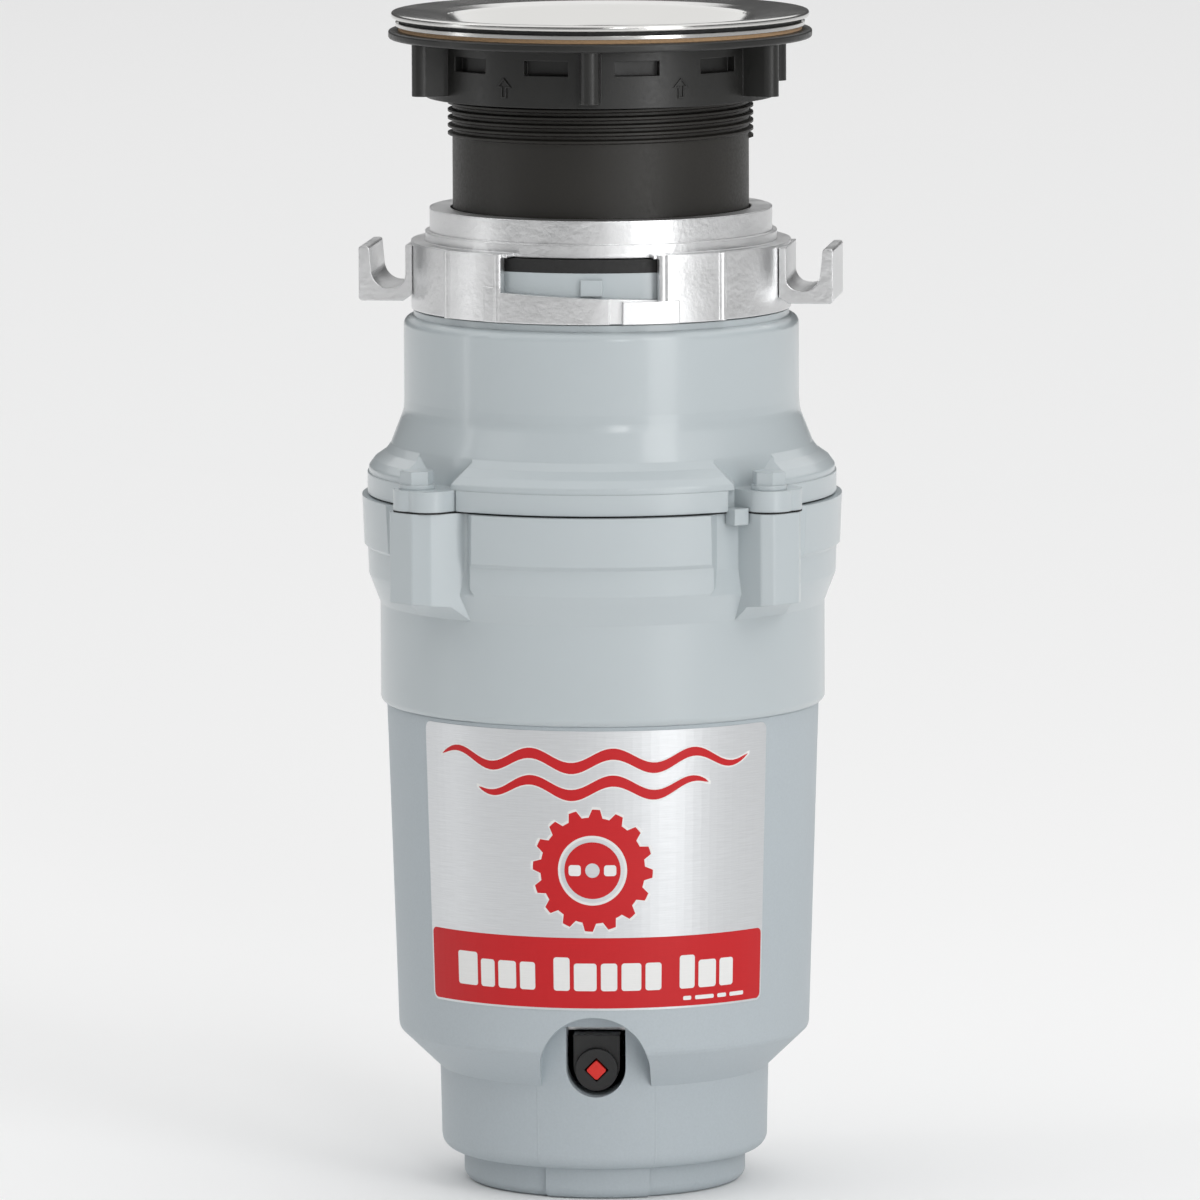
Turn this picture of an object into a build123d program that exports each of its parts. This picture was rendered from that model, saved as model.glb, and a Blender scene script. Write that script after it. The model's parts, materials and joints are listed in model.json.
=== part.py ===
from build123d import *
import os
from math import cos, degrees, atan, radians, sin

# Kitchen garbage disposal with a small permanent-magnet motor and a threaded sink mount.
# Millimetres. The origin is the centre of the foot's underside, +Z is up and the front is -Y.
# Angles are in degrees, anticlockwise seen from above, and 0 is the front.

# Motor shell, from the foot up
foot_radius = 38.8
foot_top = 8.7
foot_pad_radius = 39.9
tier_split = 21.0
step_radius = 45.3
step_top = 32.0
shell_wall = 2.2
shell_low_radius = 56.6
shell_low_z = 44.0
shell_top_radius = 59.4
shell_top = 132.9
floor_thickness = 3.0

# Reset recess in the front of the shell
recess_half_width = 14.95
recess_spring_z = 38.0
reset_half_width = 8.1
reset_z = 36.3
reset_slot_top = 48.6
button_side = 4.0
button_travel_room = 2.2

# Name label on the front of the shell
label_half_angle = 53.7
label_bottom = 55.0
label_top = 131.8
foil_thickness = 0.15

# Lower housing, which carries the upper bearing, the grind ring and the outlet
housing_radius = 61.1
housing_bottom = shell_top
housing_top = 190.4
housing_bore = 55.5
ring_seat_radius = 57.0
ring_seat_z = 176.0
chamber_floor = 138.5
band_radius = 62.6
valley_radius = 63.9
valley_z = 168.0
bay_half_angle = 33.0
bay_radius = 65.9
boss_radius = 74.0
bolt_circle = 67.6
bolt_angles = [45, 135, 225, 315]

# Outlet at the back
outlet_z = 158.0
outlet_bore = 17.6
outlet_face = 70.0
outlet_screw_half_spacing = 28.6

# Hopper
gasket_thickness = 0.5
hopper_bottom = housing_top + gasket_thickness
flange_top = 196.6
hopper_radius = 54.2
shoulder_z = 239.5
neck_radius = 49.6
neck_bore = 46.6
neck_top = 255.3
key_angle = 37.0
inlet_z = 225.0
inlet_radius = 11.1
inlet_root = 56.5
inlet_reach = 74.0

# Bayonet lock ring
ring_turn = -3.8
ring_bottom = 241.7
ring_radius = 52.05
ring_inner = neck_radius + 0.3
ring_ledge = 259.2
ring_top = 269.2
collar_radius = 46.95
collar_bore = 41.2
tab_radius = 50.9
tab_bottom = 249.2
tab_top = 253.6
tab_width = 6.0
groove_radius = tab_radius + 0.35
window_half_angle = 24.0
panel_radius = 53.1
bead_circle = 52.4
bead_radius = 1.4
ramp_z = 248.9
ramp_slope = 0.0423
hook_width = 27.5
hook_inner = 61.3
hook_outer = 65.2
hook_floor = 247.4
hook_bottom = 244.0
hook_top = 259.0

# Threaded mount tube and its nut
tube_radius = 40.6
tube_bore = 38.5
tube_top = 314.5
lip_radius = 46.2
thread_crest = 41.85
thread_pitch = 25.4 / 12
thread_start = 288.5
thread_turns = 11
nut_bottom = 299.7
nut_skirt_radius = 47.9
nut_flange_z = 315.6
nut_top = 317.85
nut_flange_radius = 58.0
nut_bore = 42.1
nut_thread_crest = 40.9

# Sink flange and the rings clamped under the sink
fibre_bottom = 317.9
friction_bottom = 319.0
friction_top = 320.05
sink_gasket_bottom = 320.1
flange_underside = 321.1
flange_rim_top = 322.9
flange_rim_radius = 57.2
throat_radius = 37.5
throat_bottom = 281.0

# Motor and turntable
shaft_radius = 6.0
bearing_radius = 11.0
running_gap = 0.05
lower_bearing_z = 36.0
upper_bearing_z = 122.0
bearing_height = 8.0
end_cap_bottom = 46.0
end_cap_top = 50.0
can_radius = 43.0
can_bore = 41.0
core_radius = 34.4
core_bottom = 72.0
core_top = 108.0
slot_count = 12
commutator_radius = 13.0
commutator_bottom = 53.0
commutator_top = 65.0
brush_z = 59.0
through_bolt_circle = 48.5
lead_radius_out = 38.5
foot_screw_angles = [45, 135, 225, 315]
foot_screw_circle = 28.0
cord_inlet_y = 23.0
ground_screw_x = 30.0
turntable_radius = 53.3
turntable_bottom = 181.0
turntable_top = 183.5
impeller_circle = 34.0
impeller_gap = 0.3
rivet_radius = 3.0

LOW = (Align.CENTER, Align.CENTER, Align.MIN)


def disc(radius, bottom, top):
    return Pos(0, 0, bottom) * Cylinder(radius, top - bottom, align=LOW)


def ring(outer, inner, bottom, top):
    return disc(outer, bottom, top) - disc(inner, bottom, top)


def turned(points, rounds=()):
    """A solid turned about Z from (radius, z) points; rounds holds (point number, radius) pairs."""
    outline = make_face(Polyline(*points, close=True))
    for number, radius in rounds:
        x, z = points[number]
        corner = outline.vertices().sort_by_distance((x, z, 0))[0]
        outline = fillet(corner, radius)
    return revolve(Plane.XZ * outline, Axis.Z)


def wedge(start, end, reach, bottom, top):
    """A three-cornered block about the axis, from one angle to another, for spans under 180."""
    far = reach / cos(radians((end - start) / 2))
    corners = [(far * sin(radians(angle)), -far * cos(radians(angle))) for angle in (start, end)]
    outline = make_face(Polyline((0, 0), *corners, close=True))
    return extrude(Plane.XY.offset(bottom) * outline, top - bottom)


def upright(points, bottom, top):
    """A prism from (sideways, outward) points, standing at the front."""
    outline = make_face(Polyline(*[(x, -out) for x, out in points], close=True))
    return extrude(Plane.XY.offset(bottom) * outline, top - bottom)


def front_prism(sketch, near, far):
    """A sketch of (x, z) pushed forwards, from near to far in front of the axis."""
    return extrude(Plane.XZ.offset(near) * sketch, far - near)


def turned_to(shape, angles):
    """Copies of a shape turned about the axis to each angle."""
    return [Rot(0, 0, angle) * shape for angle in angles]


def at_front(x, out, shape):
    return Pos(x, -out, 0) * shape


def arch(half_width, bottom, spring):
    whole = Pos(0, spring) * Circle(half_width)
    whole += Pos(0, spring) * Rectangle(2 * half_width, 4 * half_width, align=(Align.CENTER, Align.MAX))
    reach = spring + half_width - bottom
    return whole & Pos(0, bottom) * Rectangle(2 * half_width, reach, align=(Align.CENTER, Align.MIN))


def u_slot(half_width, centre, top):
    outline = Pos(0, centre) * Circle(half_width)
    sides = Rectangle(2 * half_width, top - centre, align=(Align.CENTER, Align.MIN))
    return outline + Pos(0, centre) * sides


def shell_radius(z):
    """Outside radius of the shell's tapered side at a height."""
    share = (z - shell_low_z) / (shell_top - shell_low_z)
    return shell_low_radius + share * (shell_top_radius - shell_low_radius)


def make_motor_shell():
    outside = [
        (0, 0),
        (foot_radius, 0),
        (foot_radius, foot_top),
        (step_radius - 0.5, foot_top),
        (step_radius, step_top),
        (shell_low_radius - 0.3, shell_low_z - 1.5),
        (shell_low_radius, shell_low_z),
        (shell_top_radius, shell_top),
        (0, shell_top),
    ]
    inside = [
        (0, floor_thickness),
        (foot_radius - shell_wall, floor_thickness),
        (foot_radius - shell_wall, foot_top + shell_wall),
        (step_radius - 0.3 - shell_wall, foot_top + shell_wall),
        (step_radius - shell_wall, step_top + 0.8),
        (shell_low_radius - shell_wall, shell_low_z + 0.3),
        (shell_top_radius - shell_wall, shell_top),
        (0, shell_top),
    ]
    solid_shell = turned(outside, [(5, 2.0), (3, 4.0), (1, 3.0)])
    pad = turned([(30, 0), (foot_pad_radius, 0), (foot_pad_radius, foot_top), (30, foot_top)], [(1, 3.0)])
    solid_shell += pad & wedge(-tier_split, tier_split, 45, 0, foot_top)
    hollow = turned(inside)
    shell = solid_shell - hollow

    liner_arch = arch(recess_half_width + shell_wall, step_top - 3, recess_spring_z)
    liner = (front_prism(liner_arch, 30, 60) & solid_shell) - disc(step_radius - shell_wall, 0, 80)
    shell += liner
    recess = front_prism(arch(recess_half_width, step_top, recess_spring_z), 30, 70)
    shell -= recess - disc(step_radius, 0, 80)

    well_slot = u_slot(reset_half_width, reset_z + 1, reset_slot_top)
    well_wall = u_slot(reset_half_width + 1.4, reset_z + 1, reset_slot_top + 1.4)
    shell += front_prism(well_wall, 34, 60) & disc(step_radius - 0.5, 20, 60)
    shell -= front_prism(well_slot, 33, 60)

    screw_boss = at_front(0, foot_screw_circle, disc(6.0, floor_thickness, 7.0))
    head_room = at_front(0, foot_screw_circle, disc(4.4, 0, 3.5))
    shank_room = at_front(0, foot_screw_circle, disc(2.2, 0, 7.0))
    shell += turned_to(screw_boss, foot_screw_angles)
    shell -= turned_to(head_room + shank_room, foot_screw_angles)
    shell -= Pos(0, cord_inlet_y, 0) * disc(11.1, 0, floor_thickness)
    shell -= Pos(-ground_screw_x, 0, 0) * disc(3.6, 0, 1.8)
    shell -= Pos(-ground_screw_x, 0, 0) * disc(2.0, 0, floor_thickness)
    return shell


def make_name_label():
    foil = turned([
        (shell_radius(label_bottom), label_bottom),
        (shell_radius(label_bottom) + foil_thickness, label_bottom),
        (shell_radius(label_top) + foil_thickness, label_top),
        (shell_radius(label_top), label_top),
    ])
    return foil & wedge(-label_half_angle, label_half_angle, 70, label_bottom, label_top)


def make_shell_screws():
    screw = disc(4.0, 1.0, 3.5) + disc(2.0, 3.5, 20.0)
    screw -= Pos(0, 0, 1.0) * Box(5.5, 1.0, 2.0)
    screw -= Pos(0, 0, 1.0) * Box(1.0, 5.5, 2.0)
    return Part() + turned_to(at_front(0, foot_screw_circle, screw), foot_screw_angles)


def make_ground_screw():
    screw = disc(3.2, 0.3, 1.8) + disc(1.9, 1.8, 7.0)
    screw -= Pos(0, 0, 0.3) * Box(4.5, 0.9, 1.2)
    return Pos(-ground_screw_x, 0, 0) * screw


def make_cord_inlet():
    bushing = ring(11.05, 8.0, 0.4, 8.0) + ring(12.6, 8.0, floor_thickness, 5.0)
    return Pos(0, cord_inlet_y, 0) * bushing


def make_overload_protector():
    front = 40.5
    body = front_prism(u_slot(6.35, reset_z + 1, 45.7), 31, front)
    body += front_prism(Pos(0, reset_z) * Circle(5.8), front, front + 1.6)
    body -= front_prism(Pos(0, reset_z) * Rot(0, 0, 45) * Rectangle(4.7, 4.7), 34.2, front + 2)
    body += front_prism(Pos(-3.5, 44) * Rectangle(3.0, 0.8), 25, 31)
    body += front_prism(Pos(3.5, 44) * Rectangle(3.0, 0.8), 25, 31)
    return body


def make_reset_button():
    outline = RectangleRounded(button_side, button_side, 0.6)
    return front_prism(Pos(0, reset_z) * Rot(0, 0, 45) * outline, 34.2 + button_travel_room, 42.9)


def make_lower_housing():
    seat = bearing_radius
    barrel = turned([
        (seat, 121.5),
        (seat, upper_bearing_z + bearing_height),
        (7.5, upper_bearing_z + bearing_height),
        (7.5, 134.0),
        (12.0, 134.0),
        (12.0, 146.0),
        (15.0, 146.0),
        (17.0, chamber_floor),
        (housing_bore, chamber_floor),
        (housing_bore, ring_seat_z),
        (ring_seat_radius, ring_seat_z),
        (ring_seat_radius, housing_top),
        (housing_radius, housing_top),
        (housing_radius, housing_bottom),
        (56.7, housing_bottom),
        (56.7, 127.5),
        (54.7, 127.5),
        (54.7, housing_bottom),
        (14.5, housing_bottom),
        (14.5, 121.5),
    ], [(13, 2.0)])
    bolt_boss = at_front(0, through_bolt_circle, disc(5.0, 126, housing_bottom + 1))
    bolt_seat = at_front(0, through_bolt_circle, disc(2.3, 125, chamber_floor - 1.5))
    barrel += turned_to(bolt_boss, [-90, 90])
    barrel -= turned_to(bolt_seat, [-90, 90])
    barrel += turned([
        (58.5, 160.2),
        (housing_radius - 0.2, 160.2),
        (valley_radius, valley_z),
        (band_radius, valley_z + 7.0),
        (band_radius, housing_top),
        (58.5, housing_top),
    ], [(2, 1.5)])
    bay = turned([
        (58.5, 160.0),
        (housing_radius - 0.3, 160.0),
        (64.2, 168.8),
        (64.4, 176.0),
        (65.4, 177.0),
        (bay_radius, housing_top),
        (58.5, housing_top),
    ], [(2, 1.5)])
    bay_plan = [(-34.5, 50), (-30.6, 64), (-30, 80), (30, 80), (30.6, 64), (34.5, 50)]
    bay_front = Polyline((-36, housing_top), (-36, 174), (-26, 160), (26, 160), (36, 174), (36, housing_top),
                         close=True)
    bay &= upright(bay_plan, 150, housing_top) & front_prism(make_face(bay_front), 40, 80)
    barrel += turned_to(bay, [0, 90, 180, 270])

    boss_plan = [(-6.5, 58.5), (-6.5, 71.3), (-4.0, boss_radius), (5.0, boss_radius), (9.0, 70.5), (13.5, 58.5)]
    boss_end = turned([(50, 157), (59.5, 159.4), (66.0, 164.8), (boss_radius + 1, 165.8),
                       (boss_radius + 1, housing_top), (50, housing_top)])
    boss = upright(boss_plan, 150, housing_top) & boss_end
    boss = fillet(boss.edges().filter_by(Axis.Z), 1.3)
    barrel += turned_to(boss, bolt_angles)
    bolt_hole = at_front(0, bolt_circle, disc(2.9, 171, housing_top))
    barrel -= turned_to(bolt_hole, bolt_angles)

    outlet_boss = front_prism(Pos(0, outlet_z) * Circle(23.5), 54, outlet_face)
    ears = SlotCenterToCenter(2 * outlet_screw_half_spacing, 16)
    outlet_boss += front_prism(Pos(0, outlet_z) * ears, outlet_face - 7, outlet_face)
    outlet_boss -= front_prism(Pos(0, outlet_z) * Circle(outlet_bore), 50, outlet_face)
    for side in (-1, 1):
        screw = Pos(side * outlet_screw_half_spacing, outlet_z) * Circle(2.6)
        outlet_boss -= front_prism(screw, outlet_face - 10, outlet_face)
    barrel -= Rot(0, 0, 180) * front_prism(Pos(0, outlet_z) * Circle(outlet_bore), 45, outlet_face)
    barrel += Rot(0, 0, 180) * (outlet_boss - disc(housing_bore + 2, 100, 190))
    return barrel


def flange_plan(bottom, top, inner, bay_reach):
    """The four-lobed outline that the hopper flange and the gasket share."""
    plate = disc(housing_radius - 0.1, bottom, top)
    bay = disc(bay_reach, bottom, top) & wedge(-bay_half_angle - 2, bay_half_angle + 2, 80, bottom, top)
    plate += turned_to(bay, [0, 90, 180, 270])
    lobe = at_front(0, bolt_circle, disc(6.4, bottom, top))
    lobe += at_front(4.1, bolt_circle - 0.7, disc(6.4, bottom, top))
    lobe += upright([(-6.4, 56), (-6.4, bolt_circle), (10.5, bolt_circle - 0.7), (10.5, 56)], bottom, top)
    plate += turned_to(lobe, bolt_angles)
    plate -= turned_to(at_front(0, bolt_circle, disc(3.1, bottom, top)), bolt_angles)
    return plate - disc(inner, bottom, top)


def make_housing_gasket():
    return flange_plan(housing_top, hopper_bottom, ring_seat_radius + 0.4, 63.6)


def make_hopper():
    inner_ring_seat = 57.1
    hopper = turned([
        (inner_ring_seat, hopper_bottom),
        (60.5, hopper_bottom),
        (60.5, flange_top),
        (58.4, flange_top),
        (57.9, 204.5),
        (54.4, 213.4),
        (hopper_radius, 217.0),
        (hopper_radius, shoulder_z),
        (51.5, shoulder_z),
        (51.5, shoulder_z + 1.8),
        (neck_radius, shoulder_z + 1.8),
        (neck_radius, neck_top),
        (neck_bore, neck_top),
        (neck_bore, shoulder_z - 4.0),
        (51.6, shoulder_z - 7.5),
        (51.6, 214.0),
        (54.0, 203.0),
        (54.0, 199.6),
        (inner_ring_seat, 199.6),
    ], [(13, 2.5), (7, 2.4), (5, 8.0), (4, 4.0)])
    hopper += flange_plan(hopper_bottom, flange_top, inner_ring_seat, 64.4)
    shelf = turned([
        (57.0, flange_top),
        (64.0, flange_top),
        (64.0, 198.2),
        (62.4, 200.3),
        (59.4, 202.4),
        (57.5, 205.0),
        (57.0, 205.0),
    ], [(2, 0.8)])
    shelf_front = Polyline((-38.6, flange_top), (-38.4, 198), (-32.8, 203.6), (-32.8, 206), (32.8, 206),
                           (32.8, 203.6), (38.4, 198), (38.6, flange_top), close=True)
    shelf &= front_prism(make_face(shelf_front), 40, 80)
    hopper += turned_to(shelf, [0, 90, 180, 270])
    key = upright([(-2.3, 63.2), (-2.3, 67.4), (2.3, 67.4), (2.3, 63.2)], 187.4, hopper_bottom + 1)
    hopper += Rot(0, 0, key_angle) * key
    half_tab = degrees(atan(tab_width / 2 / tab_radius))
    tab = ring(tab_radius, 48.0, tab_bottom, tab_top) & wedge(-half_tab, half_tab, 60, 240, 260)
    hopper += turned_to(tab, [0, 180])
    nozzle = front_prism(Pos(0, inlet_z) * Circle(inlet_radius), 50, inlet_reach)
    nozzle += front_prism(Pos(0, inlet_z) * Circle(inlet_radius + 1.8), 50, inlet_root)
    nozzle -= disc(53.0, 200, 250)
    nozzle_bore = front_prism(Pos(0, inlet_z) * Circle(inlet_radius - 2.4), 45, inlet_reach)
    hopper += Rot(0, 0, 180) * nozzle
    hopper -= Rot(0, 0, 180) * nozzle_bore
    return hopper


def make_inlet_plug():
    plug = front_prism(Pos(0, inlet_z) * Circle(inlet_radius - 2.4), 53, 56)
    plug += front_prism(Pos(0, inlet_z) * Circle(2.5), 56, 62)
    return Rot(0, 0, 180) * plug


def make_flange_bolts():
    head = Pos(0, 0, flange_top + 1.3) * extrude(RegularPolygon(4.0, 6, major_radius=False), 3.6)
    bolt = disc(4.9, flange_top, flange_top + 1.3) + head + disc(2.85, 172, flange_top)
    return Part() + turned_to(at_front(0, bolt_circle, bolt), bolt_angles)


def make_grind_ring():
    grinder = ring(ring_seat_radius - 0.1, 54.0, ring_seat_z, 199.4)
    slot_count_around = 24
    slot = upright([(-1.6, 50), (-1.6, 60), (1.6, 60), (1.6, 50)], ring_seat_z, ring_seat_z + 6)
    tooth_gap = upright([(-2.5, 50), (-2.5, 54.9), (2.5, 54.9), (2.5, 50)], 186, 196)
    step = 360 / slot_count_around
    grinder -= turned_to(slot, [step * number for number in range(slot_count_around)])
    grinder -= turned_to(tooth_gap, [step * (number + 0.5) for number in range(slot_count_around)])
    return grinder


def make_lock_ring():
    body = ring(ring_radius, 40.0, ring_bottom, ring_ledge + 1.0)
    body += ring(48.2, 40.0, ring_ledge, 262.8) + ring(collar_radius, 40.0, 262.8, ring_top)
    panel = ring(panel_radius, 49.0, ring_bottom, ring_ledge + 1.0)
    panels = panel & (wedge(24.3, 46, 70, 240, 262) + wedge(-46, -24.3, 70, 240, 262))
    panels += turned_to(at_front(0, bead_circle, disc(bead_radius, ring_bottom, ring_ledge + 1.0)),
                        [-45.2, -25.2, 25.2, 45.2])
    plate = ring(53.5, 49.0, ring_bottom, 251.2) & wedge(-29.7, 9.2, 70, 240, 252)
    lug = ring(53.8, 49.0, ring_bottom, 247.8) & wedge(13.0, 30, 70, 240, 250)
    for side in (0, 180):
        body += Rot(0, 0, side) * (panels + plate + lug)
        hook = front_prism(hook_section(), -hook_width / 2, hook_width / 2)
        body += Rot(0, 0, side + 90) * Rot(0, 0, -90) * hook
    body -= disc(collar_bore, ring_bottom, ring_top)
    body -= disc(46.5, ring_ledge, 262.9)
    body -= disc(ring_inner, ring_bottom, ring_ledge)
    above_ramp = Pos(0, 0, ramp_z) * Rot(0, degrees(atan(ramp_slope)), 0) * Box(160, 160, 60, align=LOW)
    above_ramp &= disc(75, 240, ring_ledge)
    groove = disc(groove_radius, 240, ring_ledge) & wedge(-30, 44, 70, 240, ring_ledge) & above_ramp
    window = wedge(-window_half_angle, window_half_angle, 60, 240, ring_ledge) & above_ramp
    window += ring(60, 48.25, ring_ledge - 1, ring_ledge + 2) & wedge(-22.6, 22.6, 70, 250, 262)
    drop_slot = disc(groove_radius, 240, ring_ledge) & wedge(32, 40.6, 70, 240, ring_ledge)
    for side in (0, 180):
        body -= Rot(0, 0, side) * (groove + window + drop_slot)
    return Rot(0, 0, ring_turn) * body


def hook_section():
    """Section of one U-shaped hook, as (radius, z)."""
    outer = make_face(Polyline(
        (50.5, ring_bottom + 4),
        (53.0, hook_bottom),
        (hook_outer, hook_bottom),
        (hook_outer, hook_top),
        (hook_inner + 1.1, hook_top),
        (hook_inner, hook_floor),
        (52.3, hook_floor),
        (52.3, ring_ledge),
        (50.5, ring_ledge),
        close=True,
    ))
    for x, z, radius in ((hook_outer, hook_bottom, 1.0), (hook_inner, hook_floor, 5.0), (52.3, hook_floor, 4.0),
                         (hook_outer, hook_top, 0.8), (hook_inner + 1.1, hook_top, 0.8)):
        corner = outer.vertices().sort_by_distance((x, z, 0))[0]
        outer = fillet(corner, radius)
    return outer


def make_mount_cushion():
    return turned([
        (39.5, neck_top),
        (neck_radius, neck_top),
        (neck_radius, ring_ledge - 0.3),
        (lip_radius - 0.4, ring_ledge - 0.3),
        (lip_radius - 0.4, ring_ledge),
        (39.5, ring_ledge),
    ])


def make_splash_guard():
    guard = ring(tube_bore - 0.05, 36.5, 262.5, 279.0)
    diaphragm = turned([(11.0, 255.5), (38.0, 263.0), (38.0, 265.0), (11.0, 257.5)])
    slit = upright([(-0.4, 0), (-0.4, 35.0), (0.4, 35.0), (0.4, 0)], 250, 270)
    return guard + (diaphragm & disc(37.0, 250, 270)) - turned_to(slit, [30 + 60 * number for number in range(6)])


def thread(root, crest, height, turns, crest_half, base_half, embed):
    """A helical ridge from the root radius to the crest radius, sunk a little into the wall behind."""
    helix = Helix(pitch=thread_pitch, height=thread_pitch * turns, radius=root, center=(0, 0, height))
    across = Plane(origin=helix @ 0, x_dir=(1, 0, 0), z_dir=helix % 0)
    back = -embed if crest > root else embed
    outline = Polyline((back, -base_half), (crest - root, -crest_half), (crest - root, crest_half),
                       (back, base_half), close=True)
    return sweep(across * make_face(outline), path=helix, is_frenet=True)


def make_threaded_tube():
    tube = ring(tube_radius, tube_bore, ring_ledge, tube_top)
    tube += ring(lip_radius, tube_bore, ring_ledge, 262.6)
    return tube + thread(tube_radius, thread_crest, thread_start, thread_turns, 0.28, 0.95, 0.6)


def make_mounting_nut():
    nut = ring(nut_skirt_radius, nut_bore, nut_bottom, nut_flange_z)
    flange = [(nut_bore, nut_flange_z), (nut_flange_radius, nut_flange_z), (nut_flange_radius, nut_top),
              (nut_bore, nut_top)]
    nut += turned(flange, [(2, 0.6), (1, 0.6)])
    lug = upright([(-2.6, 46.5), (-2.6, 54.6), (2.6, 54.6), (2.6, 46.5)], 301.5, nut_flange_z + 0.5)
    lug += at_front(0, 54.6, disc(2.6, 301.5, nut_flange_z + 0.5))
    nut += turned_to(lug, [60 * number for number in range(6)])
    window = upright([(-6.2, 44.8), (-6.2, 60), (6.2, 60), (6.2, 44.8)], 308.5, 312.5)
    nut -= turned_to(window & ring(nut_skirt_radius + 2, 44.8, 300, 315), [15 + 30 * number for number in range(12)])
    entry = thread_start + 6.5 * thread_pitch
    nut += thread(nut_bore, nut_thread_crest, entry, 4, 0.22, 0.95, 0.6)
    return nut


def make_sink_flange():
    rim = flange_rim_radius
    return turned([
        (throat_radius, throat_bottom),
        (tube_bore - 0.05, throat_bottom),
        (tube_bore - 0.05, 315.9),
        (43.3, 320.3),
        (47.0, flange_underside),
        (rim, flange_underside),
        (rim, flange_rim_top),
        (rim - 1.6, flange_rim_top),
        (47.0, 322.1),
        (42.8, 321.2),
        (throat_radius, 316.0),
    ], [(10, 4.0), (9, 3.0), (3, 3.0), (2, 3.0), (6, 0.7), (5, 0.7)])


def make_motor_shaft():
    return disc(shaft_radius, 33.0, turntable_top) + disc(4.0, turntable_top, 189.0)


def make_end_cap():
    cap = disc(52.0, end_cap_bottom, end_cap_top) + disc(15.0, lower_bearing_z - 0.5, end_cap_bottom)
    cap -= disc(bearing_radius, lower_bearing_z - 0.5, lower_bearing_z + bearing_height)
    cap -= disc(7.5, 30, end_cap_top)
    recess_room = upright([(-17.8, 30), (-17.8, 60), (17.8, 60), (17.8, 30)], end_cap_bottom, end_cap_top)
    cap -= recess_room & ring(60, 42.8, end_cap_bottom, end_cap_top)
    cap -= upright([(-9.9, 33.5), (-9.9, 45), (9.9, 45), (9.9, 33.5)], end_cap_bottom, end_cap_top)
    pillar = at_front(0, foot_screw_circle, disc(4.5, 7.0, end_cap_bottom))
    pillar -= at_front(0, foot_screw_circle, disc(2.05, 7.0, 22.0))
    cap += turned_to(pillar, foot_screw_angles)
    for side in (-90, 90):
        cap -= Rot(0, 0, side) * at_front(0, through_bolt_circle, disc(2.7, 40, 60))
        cap -= Rot(0, 0, side) * at_front(0, lead_radius_out, disc(1.6, 40, 60))
    return cap


def make_through_bolts():
    bolt = disc(4.0, end_cap_bottom - 2.5, end_cap_bottom) + disc(2.25, end_cap_bottom, 136.0)
    return Part() + turned_to(at_front(0, through_bolt_circle, bolt), [-90, 90])


def make_magnets():
    arc = ring(can_bore, 35.2, 70, 112) & wedge(-36, 36, 60, 70, 112)
    return Part() + turned_to(arc, [45, 135, 225, 315])


def armature_slot(half_width, inner, outer, bottom, top):
    block = upright([(-half_width, inner), (-half_width, outer), (half_width, outer), (half_width, inner)],
                    bottom, top)
    return turned_to(block, [360 / slot_count * number for number in range(slot_count)])


def make_armature_core():
    core = ring(core_radius, shaft_radius, core_bottom, core_top)
    core -= armature_slot(2.5, 20, 31.2, core_bottom, core_top)
    return core - armature_slot(1.0, 30, 36, core_bottom, core_top)


def make_armature_windings():
    upper = turned([(9, core_top), (31, core_top), (30, 115), (14, 117), (9, 114)], [(2, 2.0)])
    lower = turned([(9, 66.5), (22, 66.5), (30, 68.0), (31, core_bottom), (9, core_bottom)], [(2, 1.5)])
    return upper + lower + armature_slot(2.3, 20.2, 31.0, core_bottom, core_top)


def make_commutator():
    drum = ring(commutator_radius, shaft_radius, commutator_bottom, commutator_top)
    gap = upright([(-0.3, 11.5), (-0.3, 14), (0.3, 14), (0.3, 11.5)], commutator_bottom, commutator_top - 2)
    drum -= turned_to(gap, [360 / slot_count * number for number in range(slot_count)])
    return drum + ring(commutator_radius + 1.5, shaft_radius, commutator_top - 2, commutator_top)


def make_brushes():
    brush = front_prism(Pos(0, brush_z) * Rectangle(8.0, 8.0), commutator_radius + 0.3, 24.0)
    return Part() + turned_to(brush, [-90, 90])


def make_brush_springs():
    coil = Helix(pitch=1.8, height=10.0, radius=2.8)
    wire = sweep(Plane(origin=coil @ 0, z_dir=coil % 0) * Circle(0.4), path=coil, is_frenet=True)
    placed = Pos(0, -24.5, brush_z) * Rot(90, 0, 0) * wire
    return Part() + turned_to(placed, [-90, 90])


def make_brush_holders():
    outline = Pos(0, brush_z) * (Rectangle(11.4, 11.4) - Rectangle(8.4, 8.4))
    holder = front_prism(outline, 17.0, 36.5)
    holder += front_prism(Pos(0, brush_z) * Rectangle(11.4, 11.4), 35.1, 36.5)
    holder += upright([(-5.7, 20), (-5.7, 34), (5.7, 34), (5.7, 20)], end_cap_top, brush_z - 5.7)
    return Part() + turned_to(holder, [-90, 90])


def make_brush_leads():
    foot = 14.5
    leads = []
    for side in (-1, 1):
        path = FilletPolyline((side * 9, 0, foot), (side * 9, 0, 26), (side * lead_radius_out, 0, 26),
                              (side * lead_radius_out, 0, brush_z + 3), radius=6)
        section = Plane(origin=path @ 0, z_dir=path % 0) * Circle(1.1)
        leads.append(sweep(section, path=path))
    return Part() + leads


def make_rectifier_board():
    board = Pos(0, -3, 13.0) * Box(26, 22, 1.5)
    board += Pos(0, -7, 13.75) * Box(15, 12, 6, align=LOW)
    return board


def make_board_standoffs():
    post = disc(2.0, floor_thickness, 12.25)
    return Part() + [Pos(x, -3 + y, 0) * post for x in (-10.5, 10.5) for y in (-8, 8)]


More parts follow.
